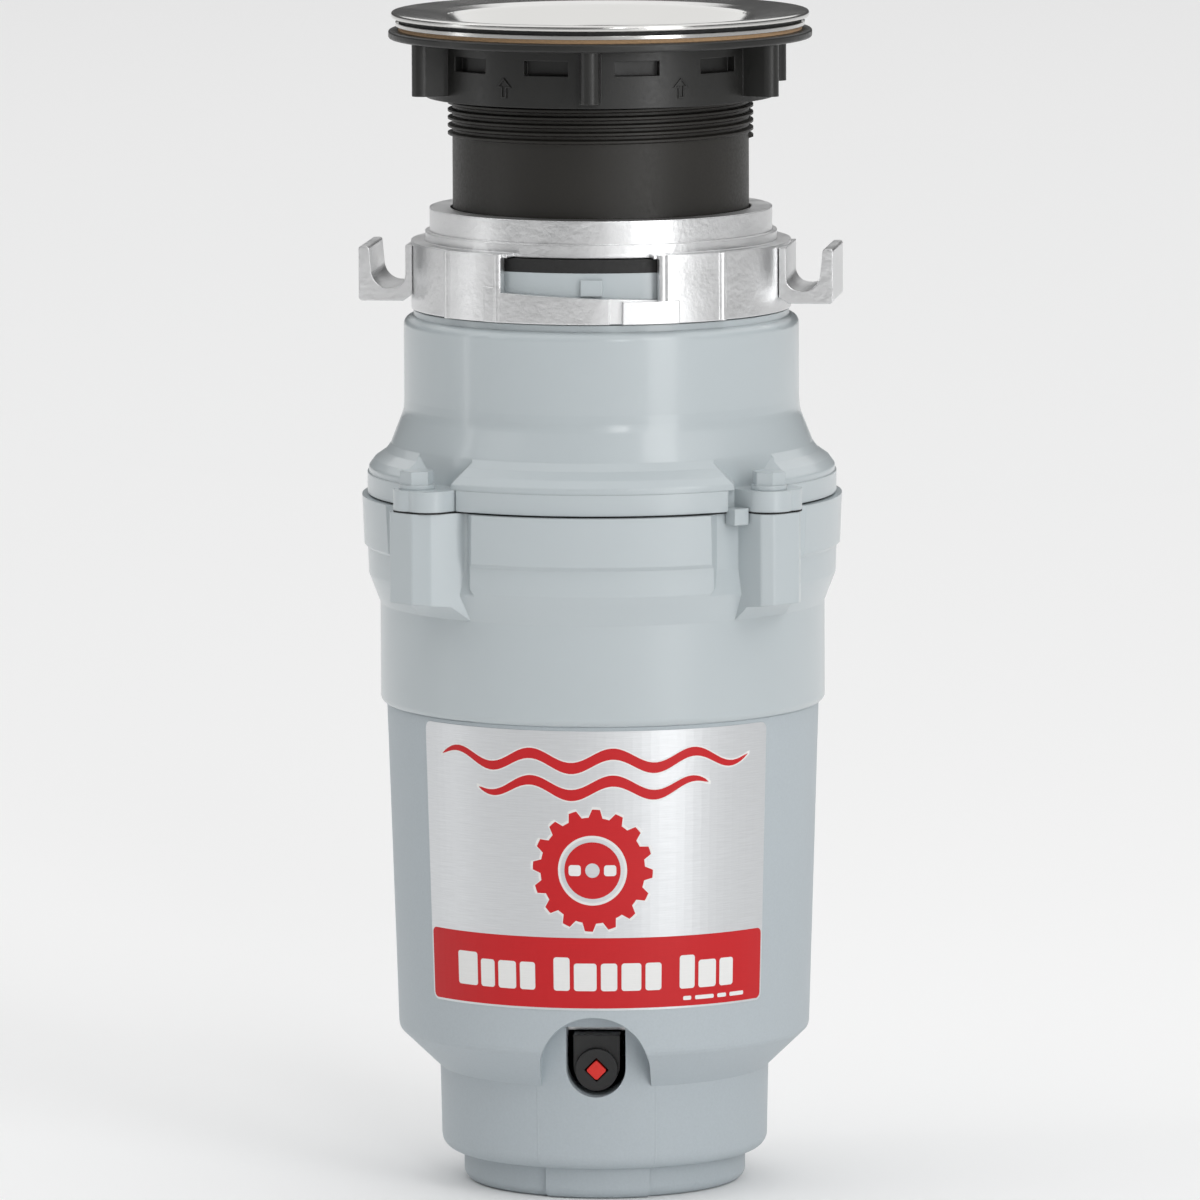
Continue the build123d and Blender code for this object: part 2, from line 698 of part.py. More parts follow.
def make_turntable():
    plate = ring(turntable_radius, shaft_radius, turntable_bottom, turntable_top)
    plate += ring(14.0, shaft_radius, 168.0, turntable_bottom)
    drain = at_front(0, 44, disc(2.4, turntable_bottom, turntable_top))
    plate -= turned_to(drain, [30 * number for number in range(12) if number % 3])
    rivet_hole = at_front(0, impeller_circle, disc(rivet_radius, turntable_bottom, turntable_top))
    return plate - turned_to(rivet_hole, [0, 180])


def make_turntable_nut():
    cap = turned([(4.0, turntable_top), (9.5, turntable_top), (9.5, 186.5), (6.0, 191.5), (0, 192.0),
                  (0, 189.0), (4.0, 189.0)], [(2, 1.0)])
    return cap


def make_impeller(angle):
    bottom = turntable_top + impeller_gap
    plate = upright([(-6.5, 26), (-6.5, 49.5), (6.5, 49.5), (6.5, 26)], bottom, bottom + 3)
    plate += at_front(0, impeller_circle, disc(8.0, bottom, bottom + 3))
    lug = upright([(-6.5, 41), (-6.5, 49.5), (6.5, 49.5), (6.5, 41)], bottom, bottom + 11)
    hole = at_front(0, impeller_circle, disc(rivet_radius + running_gap, bottom, bottom + 12))
    return Rot(0, 0, angle) * (plate + lug - hole)


def make_impeller_rivets():
    rivet = disc(rivet_radius, turntable_bottom, turntable_top + 3.6)
    rivet += disc(5.2, turntable_top + 3.6, turntable_top + 5.4)
    rivet += disc(4.8, turntable_bottom - 1.5, turntable_bottom)
    return Part() + turned_to(at_front(0, impeller_circle, rivet), [0, 180])


parts = {
    "motor_shell": make_motor_shell(),
    "name_label": make_name_label(),
    "shell_screws": make_shell_screws(),
    "ground_screw": make_ground_screw(),
    "cord_inlet_bushing": make_cord_inlet(),
    "overload_protector": make_overload_protector(),
    "reset_button": make_reset_button(),
    "lower_housing": make_lower_housing(),
    "housing_gasket": make_housing_gasket(),
    "hopper": make_hopper(),
    "dishwasher_inlet_plug": make_inlet_plug(),
    "flange_bolts": make_flange_bolts(),
    "grind_ring": make_grind_ring(),
    "lock_ring": make_lock_ring(),
    "mount_cushion": make_mount_cushion(),
    "splash_guard": make_splash_guard(),
    "threaded_tube": make_threaded_tube(),
    "mounting_nut": make_mounting_nut(),
    "fibre_gasket": ring(55.25, 43.0, fibre_bottom, friction_bottom),
    "friction_ring": ring(56.0, 44.5, friction_bottom, friction_top),
    "sink_gasket": ring(55.1, 47.2, sink_gasket_bottom, flange_underside),
    "sink_flange": make_sink_flange(),
    "motor_shaft": make_motor_shaft(),
    "lower_bearing": ring(bearing_radius, shaft_radius + running_gap, lower_bearing_z,
                          lower_bearing_z + bearing_height),
    "upper_bearing": ring(bearing_radius, shaft_radius + running_gap, upper_bearing_z,
                          upper_bearing_z + bearing_height),
    "shaft_seal": ring(12.0, shaft_radius + 0.3, 134.0, 145.0),
    "motor_end_cap": make_end_cap(),
    "through_bolts": make_through_bolts(),
    "motor_can": ring(can_radius, can_bore, end_cap_top, housing_bottom),
    "magnets": make_magnets(),
    "armature_core": make_armature_core(),
    "armature_windings": make_armature_windings(),
    "commutator": make_commutator(),
    "brushes": make_brushes(),
    "brush_springs": make_brush_springs(),
    "brush_holders": make_brush_holders(),
    "brush_leads": make_brush_leads(),
    "rectifier_board": make_rectifier_board(),
    "board_standoffs": make_board_standoffs(),
    "water_slinger": turned([(shaft_radius, 150.0), (20.0, 147.5), (20.0, 149.0), (11.0, 153.0),
                             (shaft_radius, 157.0)]),
    "turntable": make_turntable(),
    "turntable_nut": make_turntable_nut(),
    "impeller_a": make_impeller(0),
    "impeller_b": make_impeller(180),
    "impeller_rivets": make_impeller_rivets(),
}

os.makedirs("parts", exist_ok=True)
for name, shape in parts.items():
    export_step(shape, f"parts/{name}.step")
    print(name, len(shape.solids()), round(shape.volume))
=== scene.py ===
import bmesh
import bpy
import json
import math
from mathutils import Matrix, Quaternion, Vector


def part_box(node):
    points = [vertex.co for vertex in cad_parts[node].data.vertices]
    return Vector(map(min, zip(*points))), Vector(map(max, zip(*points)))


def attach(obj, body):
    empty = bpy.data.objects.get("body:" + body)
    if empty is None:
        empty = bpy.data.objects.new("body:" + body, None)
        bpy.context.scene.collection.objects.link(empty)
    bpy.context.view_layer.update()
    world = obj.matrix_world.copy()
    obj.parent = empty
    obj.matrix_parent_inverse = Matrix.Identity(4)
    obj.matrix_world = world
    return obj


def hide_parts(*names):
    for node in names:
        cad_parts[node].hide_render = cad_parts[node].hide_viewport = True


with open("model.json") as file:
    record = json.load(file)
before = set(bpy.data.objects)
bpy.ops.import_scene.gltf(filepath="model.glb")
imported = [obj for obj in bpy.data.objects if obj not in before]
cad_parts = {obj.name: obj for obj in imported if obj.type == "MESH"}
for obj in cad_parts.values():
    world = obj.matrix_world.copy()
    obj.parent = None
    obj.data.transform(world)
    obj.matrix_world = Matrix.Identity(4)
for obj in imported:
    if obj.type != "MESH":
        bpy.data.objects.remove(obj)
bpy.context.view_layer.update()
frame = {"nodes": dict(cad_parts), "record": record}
nodes = frame["nodes"]
mm = 0.001
print("frame loaded:", len(nodes), "nodes")


# shader tools

nodeGrid = {"left": -1500, "across": 190, "down": -160, "rows": 4}


def putNode(tree, kind, **settings):
    made = tree.nodes.new(kind)
    count = len(tree.nodes)
    row = count % nodeGrid["rows"]
    made.location = (nodeGrid["left"] + count * nodeGrid["across"], row * nodeGrid["down"])
    for key, value in settings.items():
        setattr(made, key, value)
    return made


def setInputs(made, values):
    for key, value in values.items():
        made.inputs[key].default_value = value


def newGroup(name, inputs, outputs):
    group = bpy.data.node_groups.new(name, "ShaderNodeTree")
    for label, value in inputs.items():
        socket = group.interface.new_socket(name=label, in_out="INPUT", socket_type="NodeSocketFloat")
        socket.default_value = value
    for label in outputs:
        group.interface.new_socket(name=label, in_out="OUTPUT", socket_type="NodeSocketFloat")
    return group, group.nodes.new("NodeGroupInput"), group.nodes.new("NodeGroupOutput")


def feed(tree, socket, value):  # a number is set on the socket, and anything else is linked to it
    if isinstance(value, (int, float)):
        socket.default_value = value
    else:
        tree.links.new(value, socket)


def mathNode(tree, operation, first, second=None, clamp=False):
    made = putNode(tree, "ShaderNodeMath", operation=operation, use_clamp=clamp)
    feed(tree, made.inputs[0], first)
    if second is not None:
        feed(tree, made.inputs[1], second)
    return made.outputs[0]


def noiseNode(tree, vector, scale, look):
    made = putNode(tree, "ShaderNodeTexNoise")
    setInputs(made, look)
    feed(tree, made.inputs["Scale"], scale)
    tree.links.new(vector, made.inputs["Vector"])
    return made.outputs["Fac"]


fineNoise = {"Detail": 3, "Roughness": 0.6}
broadNoise = {"Detail": 3, "Roughness": 0.55}
turnedNoise = {"Detail": 4, "Roughness": 0.65}


def makeGrainGroup():  # a fine grain and a broad cloud
    group, start, end = newGroup("surfaceGrain", {"Fine Scale": 900, "Broad Scale": 25}, ["Fine", "Broad"])
    place = putNode(group, "ShaderNodeTexCoord").outputs["Object"]
    fine = noiseNode(group, place, start.outputs["Fine Scale"], fineNoise)
    broad = noiseNode(group, place, start.outputs["Broad Scale"], broadNoise)
    group.links.new(fine, end.inputs["Fine"])
    group.links.new(broad, end.inputs["Broad"])
    return group


def makeTurnedGroup():  # lathe and brush marks: lines in radius and in height, and the angle round the axis
    group, start, end = newGroup("turnedMarks", {"Lines": 900, "Drift": 6}, ["Rings", "Rows", "Angle"])
    place = putNode(group, "ShaderNodeTexCoord").outputs["Object"]
    parts = putNode(group, "ShaderNodeSeparateXYZ")
    group.links.new(place, parts.inputs[0])
    x, y, z = parts.outputs
    angle = mathNode(group, "ARCTAN2", x, mathNode(group, "MULTIPLY", y, -1))
    squares = mathNode(group, "ADD", mathNode(group, "MULTIPLY", x, x), mathNode(group, "MULTIPLY", y, y))
    radius = mathNode(group, "POWER", squares, 0.5)
    drift = mathNode(group, "MULTIPLY", angle, start.outputs["Drift"])
    for label, across in (("Rings", radius), ("Rows", z)):
        place = putNode(group, "ShaderNodeCombineXYZ")
        group.links.new(mathNode(group, "MULTIPLY", across, start.outputs["Lines"]), place.inputs[0])
        group.links.new(drift, place.inputs[1])
        group.links.new(noiseNode(group, place.outputs[0], 1.0, turnedNoise), end.inputs[label])
    group.links.new(angle, end.inputs["Angle"])
    return group


grainGroup = makeGrainGroup()
turnedGroup = makeTurnedGroup()


def useGroup(tree, group, values):
    made = putNode(tree, "ShaderNodeGroup", node_tree=group)
    setInputs(made, values)
    return made.outputs


noiseLow, noiseHigh = 0.3, 0.7  # where the noise's values mostly lie
bevelSamples = 6


def spread(tree, value, low, high):
    made = putNode(tree, "ShaderNodeMapRange")
    setInputs(made, {"From Min": noiseLow, "From Max": noiseHigh, "To Min": low, "To Max": high})
    tree.links.new(value, made.inputs["Value"])
    return made.outputs["Result"]


def shade(color, factor):
    return (*(min(1.0, channel * factor) for channel in color), 1)


def addTone(tree, shader, mask, first, second):
    mix = putNode(tree, "ShaderNodeMix", data_type="RGBA")
    tree.links.new(mask, mix.inputs[0])
    mix.inputs[6].default_value = first
    mix.inputs[7].default_value = second
    tree.links.new(mix.outputs[2], shader.inputs["Base Color"])


def addBumps(tree, shader, bumps, edge):
    normal = None
    if edge:
        rounded = putNode(tree, "ShaderNodeBevel", samples=bevelSamples)
        rounded.inputs["Radius"].default_value = edge
        normal = rounded.outputs[0]
    for height, distance, strength in bumps:
        made = putNode(tree, "ShaderNodeBump")
        setInputs(made, {"Distance": distance, "Strength": strength})
        tree.links.new(height, made.inputs["Height"])
        if normal is not None:
            tree.links.new(normal, made.inputs["Normal"])
        normal = made.outputs[0]
    tree.links.new(normal, shader.inputs["Normal"])


def partingMask(tree, plan):  # two upright mould lines at the front of the foot
    turned = useGroup(tree, turnedGroup, {"Lines": 1})
    side = mathNode(tree, "ABSOLUTE", turned["Angle"])
    away = mathNode(tree, "ABSOLUTE", mathNode(tree, "SUBTRACT", side, plan["angle"]))
    line = mathNode(tree, "SUBTRACT", 1, mathNode(tree, "MULTIPLY", away, plan["sharpness"], True), True)
    place = putNode(tree, "ShaderNodeSeparateXYZ")
    tree.links.new(putNode(tree, "ShaderNodeTexCoord").outputs["Object"], place.inputs[0])
    low = mathNode(tree, "LESS_THAN", place.outputs[2], plan["top"])
    return mathNode(tree, "MULTIPLY", line, low)


# finishes: grain is (fine, broad) scale and turned is (lines, drift). tone is a mask with the shade at
# its two ends, rough is a mask with two roughnesses, and bumps are masks with a depth and a strength

def makeFinish(name, look):
    material = bpy.data.materials.new(name)
    material.use_nodes = True
    tree = material.node_tree
    shader = tree.nodes["Principled BSDF"]
    setInputs(shader, {"Base Color": shade(look["color"], 1), "Roughness": look["roughness"],
                       "Metallic": look.get("metallic", 0.0)})
    for key, socket in (("coat", "Coat Weight"), ("coatRoughness", "Coat Roughness"),
                        ("specular", "Specular IOR Level"), ("sheen", "Sheen Weight")):
        if key in look:
            shader.inputs[socket].default_value = look[key]
    masks = {}
    if "grain" in look:
        fine, broad = look["grain"]
        grain = useGroup(tree, grainGroup, {"Fine Scale": fine, "Broad Scale": broad})
        masks.update(fine=grain["Fine"], broad=grain["Broad"])
    if "turned" in look:
        lines, drift = look["turned"]
        turned = useGroup(tree, turnedGroup, {"Lines": lines, "Drift": drift})
        masks.update(rings=turned["Rings"], rows=turned["Rows"])
    if "parting" in look:
        masks["parting"] = partingMask(tree, look["parting"])
    mask, low, high = look["tone"]
    addTone(tree, shader, masks[mask], shade(look["color"], low), shade(look["color"], high))
    if "rough" in look:
        mask, low, high = look["rough"]
        tree.links.new(spread(tree, masks[mask], low, high), shader.inputs["Roughness"])
    bumps = [(masks[mask], depth, strength) for mask, depth, strength in look["bumps"]]
    addBumps(tree, shader, bumps, look.get("edge"))
    return material


glossGrey = {"color": (0.48, 0.53, 0.55), "roughness": 0.32, "coat": 0.4, "coatRoughness": 0.12,
             "grain": (420, 18), "tone": ("broad", 0.97, 1.03), "rough": ("broad", 0.29, 0.36),
             "bumps": [("fine", 0.02 * mm, 0.35), ("broad", 0.15 * mm, 0.25)], "edge": 0.5 * mm}
matteGrey = {"color": (0.45, 0.50, 0.53), "roughness": 0.48, "specular": 0.4,
             "grain": (1500, 14), "tone": ("fine", 0.93, 1.07), "rough": ("broad", 0.42, 0.54),
             "parting": {"angle": math.radians(21), "top": 31.5 * mm, "sharpness": 130},
             "bumps": [("fine", 0.05 * mm, 0.5), ("parting", 0.15 * mm, 0.6)], "edge": 0.4 * mm}
castAluminium = {"color": (0.88, 0.885, 0.89), "roughness": 0.3, "metallic": 1.0,
                 "grain": (700, 70), "turned": (1400, 3), "tone": ("broad", 0.82, 1),
                 "rough": ("broad", 0.285, 0.4),
                 "bumps": [("broad", 0.5 * mm, 0.45), ("fine", 0.12 * mm, 0.6), ("rings", 0.02 * mm, 0.35)],
                 "edge": 0.5 * mm}
stainless = {"color": (0.66, 0.655, 0.64), "roughness": 0.16, "metallic": 1.0,
             "grain": (600, 30), "turned": (2600, 2), "tone": ("broad", 0.94, 1),
             "rough": ("broad", 0.1, 0.24),
             "bumps": [("rings", 0.012 * mm, 0.4), ("rows", 0.01 * mm, 0.3)], "edge": 0.25 * mm}
pressedFibre = {"color": (0.56, 0.36, 0.20), "roughness": 0.85, "sheen": 0.2,
                "grain": (1300, 260), "tone": ("fine", 0.72, 1.3),
                "bumps": [("fine", 0.15 * mm, 0.7), ("broad", 0.2 * mm, 0.4)]}
brushedFoil = {"color": (0.72, 0.735, 0.75), "roughness": 0.3, "metallic": 1.0,
               "grain": (900, 22), "turned": (3800, 7), "tone": ("rows", 0.80, 1.12),
               "rough": ("rows", 0.285, 0.4), "bumps": [("rows", 0.02 * mm, 0.6), ("broad", 0.1 * mm, 0.12)]}


def moulded(color, roughness, fine, edge, **extra):  # plastic and rubber with a fine moulded grain
    return {"color": color, "roughness": roughness, "grain": (fine, 40), "tone": ("broad", 0.8, 1.25),
            "rough": ("fine", roughness - 0.06, roughness + 0.08),
            "bumps": [("fine", 0.03 * mm, 0.45), ("broad", 0.1 * mm, 0.2)], "edge": edge, **extra}


def machined(color, roughness, metallic=1.0, lines=900):  # plain metal with tool marks
    return {"color": color, "roughness": roughness, "metallic": metallic,
            "grain": (800, 60), "turned": (lines, 4), "tone": ("broad", 0.8, 1.1),
            "rough": ("fine", roughness - 0.08, roughness + 0.1),
            "bumps": [("rows", 0.02 * mm, 0.3), ("fine", 0.03 * mm, 0.3)]}


def ink(color, roughness, **extra):  # print that lets the foil's brushing through
    return {"color": color, "roughness": roughness, "turned": (3800, 7), "tone": ("rows", 0.93, 1.06),
            "bumps": [("rows", 0.008 * mm, 0.3)], **extra}


blackNylon = moulded((0.014, 0.014, 0.013), 0.36, 900, 0.35 * mm)
tubeBlack = moulded((0.017, 0.0155, 0.013), 0.44, 1200, 0.12 * mm, specular=0.4)
blackRubber = moulded((0.012, 0.012, 0.012), 0.62, 700, 0.3 * mm)
phenolic = moulded((0.012, 0.012, 0.012), 0.35, 900, 0.3 * mm)
redPlastic = moulded((0.72, 0.02, 0.012), 0.36, 900, 0.4 * mm)
nylonWhite = moulded((0.72, 0.71, 0.66), 0.4, 700, 0.3 * mm)
boardGreen = moulded((0.02, 0.10, 0.04), 0.35, 600, 0.2 * mm)

zincSteel = machined((0.62, 0.61, 0.58), 0.37)
motorSteel = machined((0.30, 0.30, 0.31), 0.4)
ironCore = machined((0.16, 0.16, 0.17), 0.5, metallic=0.8, lines=2000)
ferrite = machined((0.05, 0.05, 0.055), 0.55, metallic=0.2, lines=300)
copperWire = machined((0.62, 0.26, 0.13), 0.37, lines=1500)
bronze = machined((0.52, 0.34, 0.14), 0.38)
carbon = machined((0.03, 0.03, 0.03), 0.55, metallic=0.0, lines=300)

redInk = ink((0.55, 0.012, 0.016), 0.42, specular=0.3)
whiteInk = ink((0.80, 0.80, 0.79), 0.4)

greyPaint = makeFinish("glossGreyPaint", glossGrey)
finishes = {
    "gloss_grey_paint": greyPaint,
    "housing_grey": greyPaint,
    "shell_grey": makeFinish("matteGreyShell", matteGrey),
    "label_foil": makeFinish("brushedFoil", brushedFoil),
    "cast_aluminium": makeFinish("castAluminium", castAluminium),
    "stainless": makeFinish("polishedStainless", stainless),
    "zinc_steel": makeFinish("zincSteel", zincSteel),
    "motor_steel": makeFinish("motorSteel", motorSteel),
    "black_nylon": makeFinish("blackNylon", blackNylon),
    "tube_black": makeFinish("tubeBlack", tubeBlack),
    "black_rubber": makeFinish("blackRubber", blackRubber),
    "fibre_tan": makeFinish("pressedFibre", pressedFibre),
    "red_plastic": makeFinish("redPlastic", redPlastic),
    "phenolic_black": makeFinish("phenolicBlack", phenolic),
    "board_green": makeFinish("boardGreen", boardGreen),
    "nylon_white": makeFinish("nylonWhite", nylonWhite),
    "copper": makeFinish("copperWire", copperWire),
    "bronze": makeFinish("sinteredBronze", bronze),
    "laminated_iron": makeFinish("laminatedIron", ironCore),
    "magnet_ferrite": makeFinish("magnetFerrite", ferrite),
    "carbon": makeFinish("carbonBrush", carbon),
}

for part in frame["record"]["subparts"]:
    holder = nodes[part["node"]].data.materials
    holder.clear()
    holder.append(finishes[part["material_slot"]])
print("finishes made:", len(finishes))


# the label, wrapped on the shell's taper

labelLow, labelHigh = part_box("name_label")
labelPlan = {"halfAngle": math.radians(51.4), "corner": 2.2 * mm, "cornerSegments": 6,
             "foilThickness": 0.15 * mm, "inkThickness": 0.05 * mm, "bandHeight": 20 * mm,
             "bandMargin": 0.6 * mm, "bandCorner": 1.54 * mm, "stripWidth": 2.5 * mm, "cutReach": 1e-7}


def radiusNear(node, height, reach=0.5 * mm):
    near = [v.co for v in nodes[node].data.vertices if abs(v.co.z - height) < reach]
    return min(math.hypot(point.x, point.y) for point in near)


labelLowRadius = radiusNear("name_label", labelLow.z)
labelHighRadius = radiusNear("name_label", labelHigh.z)
labelHeight = labelHigh.z - labelLow.z


def wrapPoint(point, lift):  # a flat (sideways, out, height) point goes to its place round the shell
    share = (point.z - labelLow.z) / labelHeight
    reach = labelLowRadius + share * (labelHighRadius - labelLowRadius) + lift + point.y
    angle = point.x / labelHighRadius
    return Vector((reach * math.sin(angle), -reach * math.cos(angle), point.z))


def flatFace(outline, corner=0.0):  # a flat face of (sideways, height) points, with its corners rounded
    sheet = bmesh.new()
    sheet.faces.new([sheet.verts.new((x, 0, z)) for x, z in outline])
    sheet.normal_update()
    if corner:
        bmesh.ops.bevel(sheet, geom=sheet.verts[:], offset=corner, segments=labelPlan["cornerSegments"],
                        profile=0.5, affect="VERTICES", material=-1)
    return sheet


def cutStrips(sheet, width):  # upright cuts, so that the face can bend round the shell
    left = min(v.co.x for v in sheet.verts)
    right = max(v.co.x for v in sheet.verts)
    count = int((right - left) / width)
    for number in range(1, count + 1):
        place = left + (right - left) * number / (count + 1)
        bmesh.ops.bisect_plane(sheet, geom=sheet.verts[:] + sheet.edges[:] + sheet.faces[:],
                               dist=labelPlan["cutReach"], plane_co=(place, 0, 0), plane_no=(1, 0, 0))


def thicken(sheet, thickness):  # pushes the flat face out into a closed plate
    grown = bmesh.ops.extrude_face_region(sheet, geom=sheet.faces[:])
    moved = [part for part in grown["geom"] if isinstance(part, bmesh.types.BMVert)]
    bmesh.ops.translate(sheet, verts=moved, vec=(0, thickness, 0))


def joinSheets(sheets):
    whole = bmesh.new()
    for sheet in sheets:
        holder = bpy.data.meshes.new("holder")
        sheet.to_mesh(holder)
        sheet.free()
        whole.from_mesh(holder)
        bpy.data.meshes.remove(holder)
    return whole


def finishPiece(name, sheet, body, material):
    bmesh.ops.recalc_face_normals(sheet, faces=sheet.faces[:])
    mesh = bpy.data.meshes.new(name)
    sheet.to_mesh(mesh)
    sheet.free()
    mesh.materials.append(material)
    piece = bpy.data.objects.new(name, mesh)
    bpy.context.scene.collection.objects.link(piece)
    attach(piece, body)
    return piece


def wrapOnShell(name, sheet, lift, thickness, material):
    cutStrips(sheet, labelPlan["stripWidth"])
    thicken(sheet, thickness)
    for vert in sheet.verts:
        vert.co = wrapPoint(vert.co, lift)
    return finishPiece(name, sheet, "housing", material)


def block(left, right, low, high):
    return [(left, low), (right, low), (right, high), (left, high)]


redMaterial = makeFinish("redInk", redInk)
whiteMaterial = makeFinish("whiteInk", whiteInk)
inkThickness = labelPlan["inkThickness"]
firstInk = labelPlan["foilThickness"]  # the height of each layer of print above the shell
secondInk = firstInk + inkThickness
thirdInk = secondInk + inkThickness


def makeFoilAndBand():
    half = labelPlan["halfAngle"] * labelHighRadius
    foil = flatFace(block(-half, half, labelLow.z, labelHigh.z), labelPlan["corner"])
    foilPiece = wrapOnShell("labelFoil", foil, 0, labelPlan["foilThickness"], finishes["label_foil"])
    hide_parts("name_label")
    margin = labelPlan["bandMargin"]
    top = labelLow.z + labelPlan["bandHeight"]
    band = flatFace(block(-half + margin, half - margin, labelLow.z + margin, top), labelPlan["bandCorner"])
    wrapOnShell("labelBand", band, firstInk, inkThickness, redMaterial)


makeFoilAndBand()

bandBars = {"low": 5.4 * mm, "high": 13.0 * mm, "firstRise": 1.6 * mm, "gap": 1.2 * mm, "space": 5.4 * mm,
            "corner": 0.8 * mm, "words": [[7.0, 4.6, 5.6, 4.6], [4.6, 6.4, 4.6, 5.6, 4.6], [4.6, 5.6, 4.6]]}
smallBars = {"low": 2.2 * mm, "high": 3.3 * mm, "right": 46 * mm, "lengths": [5, 3, 6, 2.5],
             "corner": 0.4 * mm}


def makeBandBars():  # plain white blocks that stand where print would be
    gap, space = bandBars["gap"], bandBars["space"]
    total = sum(sum(word) * mm + gap * (len(word) - 1) for word in bandBars["words"])
    left = -(total + space * (len(bandBars["words"]) - 1)) / 2
    low, high = labelLow.z + bandBars["low"], labelLow.z + bandBars["high"]
    sheets = []
    for word in bandBars["words"]:
        for place, length in enumerate(word):
            top = high if place else high + bandBars["firstRise"]
            sheets.append(flatFace(block(left, left + length * mm, low, top), bandBars["corner"]))
            left += length * mm + gap
        left += space - gap
    right = smallBars["right"]
    low, high = labelLow.z + smallBars["low"], labelLow.z + smallBars["high"]
    for length in smallBars["lengths"]:
        sheets.append(flatFace(block(right - length * mm, right, low, high), smallBars["corner"]))
        right -= length * mm + gap
    wrapOnShell("labelBars", joinSheets(sheets), secondInk, inkThickness, whiteMaterial)


makeBandBars()

waves = {"top": 68.6 * mm, "spacing": 7.4 * mm, "reaches": [46 * mm, 33 * mm], "rise": 2.0 * mm, "turns": 4,
         "thickness": 3.0 * mm, "tip": 0.05 * mm, "outline": 0.8 * mm, "steps": 72}


def makeWaves(name, extra, lift, material):  # water lines across the top of the label
    sheets = []
    for row, reach in enumerate(waves["reaches"]):
        reach += extra
        middle = labelLow.z + waves["top"] - row * waves["spacing"]
        lower, upper = [], []
        for number in range(waves["steps"] + 1):
            x = (2 * number / waves["steps"] - 1) * reach
            taper = max(0.0, 1 - (x / reach) ** 2) ** 0.5
            half = waves["thickness"] / 2 * taper + extra / 2 + waves["tip"]
            z = middle + waves["rise"] * math.sin(math.pi * waves["turns"] * x / waves["reaches"][0])
            lower.append((x, z - half))
            upper.append((x, z + half))
        sheets.append(flatFace(lower + upper[::-1]))
    wrapOnShell(name, joinSheets(sheets), lift, inkThickness, material)


makeWaves("labelWavesEdge", waves["outline"], firstInk, whiteMaterial)
makeWaves("labelWaves", 0, secondInk, redMaterial)

wheel = {"height": 38.6 * mm, "rim": 14.6 * mm, "rimWidth": 5.0 * mm, "teeth": 16, "tooth": 2.2 * mm,
         "pitchSteps": 6, "toothSteps": 3, "plate": 7.8 * mm, "hub": 2.0 * mm, "plateSteps": 48,
         "outline": 0.7 * mm}


def ringFace(outer, inner, steps, toothed=False):  # a flat ring that faces the front
    sheet = bmesh.new()
    middle = labelLow.z + wheel["height"]
    standing = Matrix.Rotation(math.pi, 4, "Z") @ Matrix.Rotation(math.pi / 2, 4, "X")
    upright = Matrix.Translation((0, 0, middle)) @ standing
    rim = bmesh.ops.create_circle(sheet, radius=outer, segments=steps, matrix=upright)["verts"]
    if toothed:
        grown = (outer + wheel["tooth"]) / outer
        pitch, wide = wheel["pitchSteps"], wheel["toothSteps"]
        teeth = [vert for number, vert in enumerate(rim) if number % pitch < wide]
        bmesh.ops.scale(sheet, verts=teeth, vec=(grown, grown, grown),
                        space=Matrix.Translation((0, 0, -middle)))
    bmesh.ops.create_circle(sheet, radius=inner, segments=steps, matrix=upright)
    bmesh.ops.bridge_loops(sheet, edges=sheet.edges[:])
    return sheet


def makeWheel(name, extra, lift, material):  # a toothed grinding wheel round a plate
    rim = wheel["rim"] + extra
    inside = wheel["rim"] - wheel["rimWidth"] - extra
    sheets = [ringFace(rim, inside, wheel["teeth"] * wheel["pitchSteps"], toothed=True)]
    if not extra:
        sheets.append(ringFace(wheel["plate"], wheel["hub"], wheel["plateSteps"]))
    wrapOnShell(name, joinSheets(sheets), lift, inkThickness, material)


makeWheel("labelWheelEdge", wheel["outline"], firstInk, whiteMaterial)
makeWheel("labelWheel", 0, secondInk, redMaterial)

lugs = {"near": 3.2 * mm, "far": 6.6 * mm, "half": 1.5 * mm, "corner": 0.8 * mm}


def makeLugs():  # the two swinging lugs, in white on the plate
    middle = labelLow.z + wheel["height"]
    sheets = []
    for side in (-1, 1):
        near, far = sorted((side * lugs["near"], side * lugs["far"]))
        outline = block(near, far, middle - lugs["half"], middle + lugs["half"])
        sheets.append(flatFace(outline, lugs["corner"]))
    wrapOnShell("labelLugs", joinSheets(sheets), thirdInk, inkThickness, whiteMaterial)


makeLugs()
print("label made")


# raised arrows on the nut's skirt

arrow = {"count": 6, "firstAngle": 30, "low": 2.4 * mm, "height": 5.6 * mm, "neckShare": 0.52,
         "halfHead": 2.4 * mm, "halfStem": 0.9 * mm, "line": 0.42 * mm, "thickness": 0.35 * mm,
         "sunk": 0.1 * mm, "skirtRadius": 47.9 * mm}


